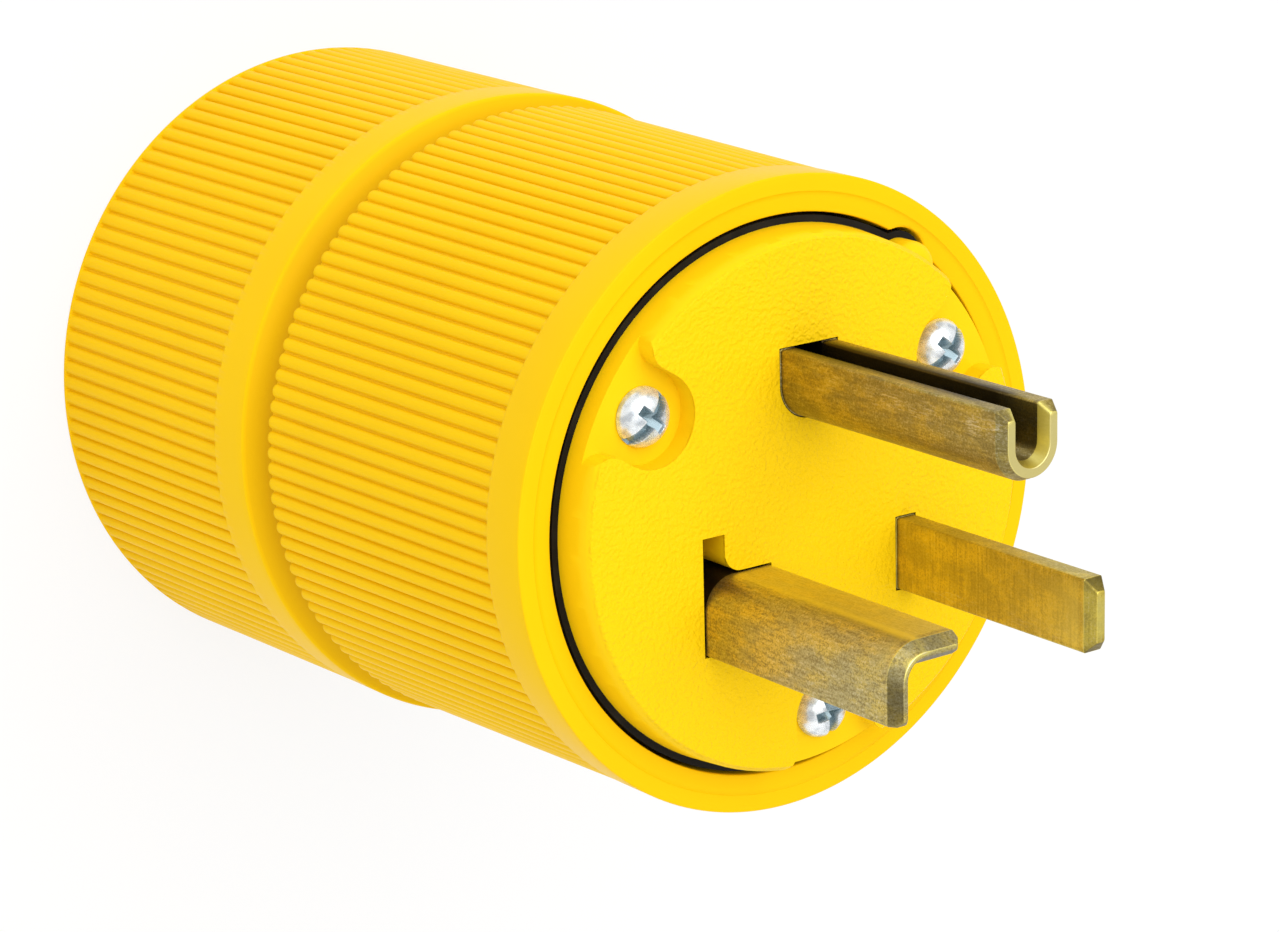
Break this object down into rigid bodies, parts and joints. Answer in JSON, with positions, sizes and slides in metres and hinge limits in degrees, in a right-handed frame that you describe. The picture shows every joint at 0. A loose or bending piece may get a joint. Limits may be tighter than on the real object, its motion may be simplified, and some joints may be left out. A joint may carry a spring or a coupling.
{
  "type": "straight blade plug",
  "caption": "Wiring plug with straight, L-shaped and U-shaped blades on a raised face, in a ribbed tapered body with a stepped waist band; joins a cord to an outlet.",
  "frame": {"origin": "centre of the flat rear face, where the cord goes in", "axes": "+Z along the plug's axis towards the blade tips, +Y towards the U-shaped ground blade, +X towards the straight blade"},
  "size_m": [0.0592, 0.0592, 0.1032],
  "materials": {
    "shell": "semi-gloss moulded yellow",
    "face": "fine moulded stipple, yellow",
    "block": "plain black moulding",
    "blade": "drawn brass, tarnished, bright at the edges",
    "clamp_plate": "stamped brass",
    "line_screw": "turned brass",
    "neutral_screw": "nickel plated",
    "ground_screw": "green dyed",
    "zinc_screw": "bright zinc plate",
    "bushing": "soft black rubber",
    "jaw": "plain black moulding"
  },
  "bodies": {
    "root": {"housing": "shell", "face_insert": "face", "terminal_block": "block", "line_blade": "blade", "neutral_blade": "blade", "ground_blade": "blade", "line_clamp": "clamp_plate", "neutral_clamp": "clamp_plate", "ground_clamp": "clamp_plate", "line_screw": "line_screw", "neutral_screw": "neutral_screw", "ground_screw": "ground_screw", "face_screws": "zinc_screw", "cord_bushing": "bushing", "clamp_jaw_fixed": "jaw", "clamp_jaw_moving": "jaw", "clamp_screws": "zinc_screw"}
  },
  "joints": []
}
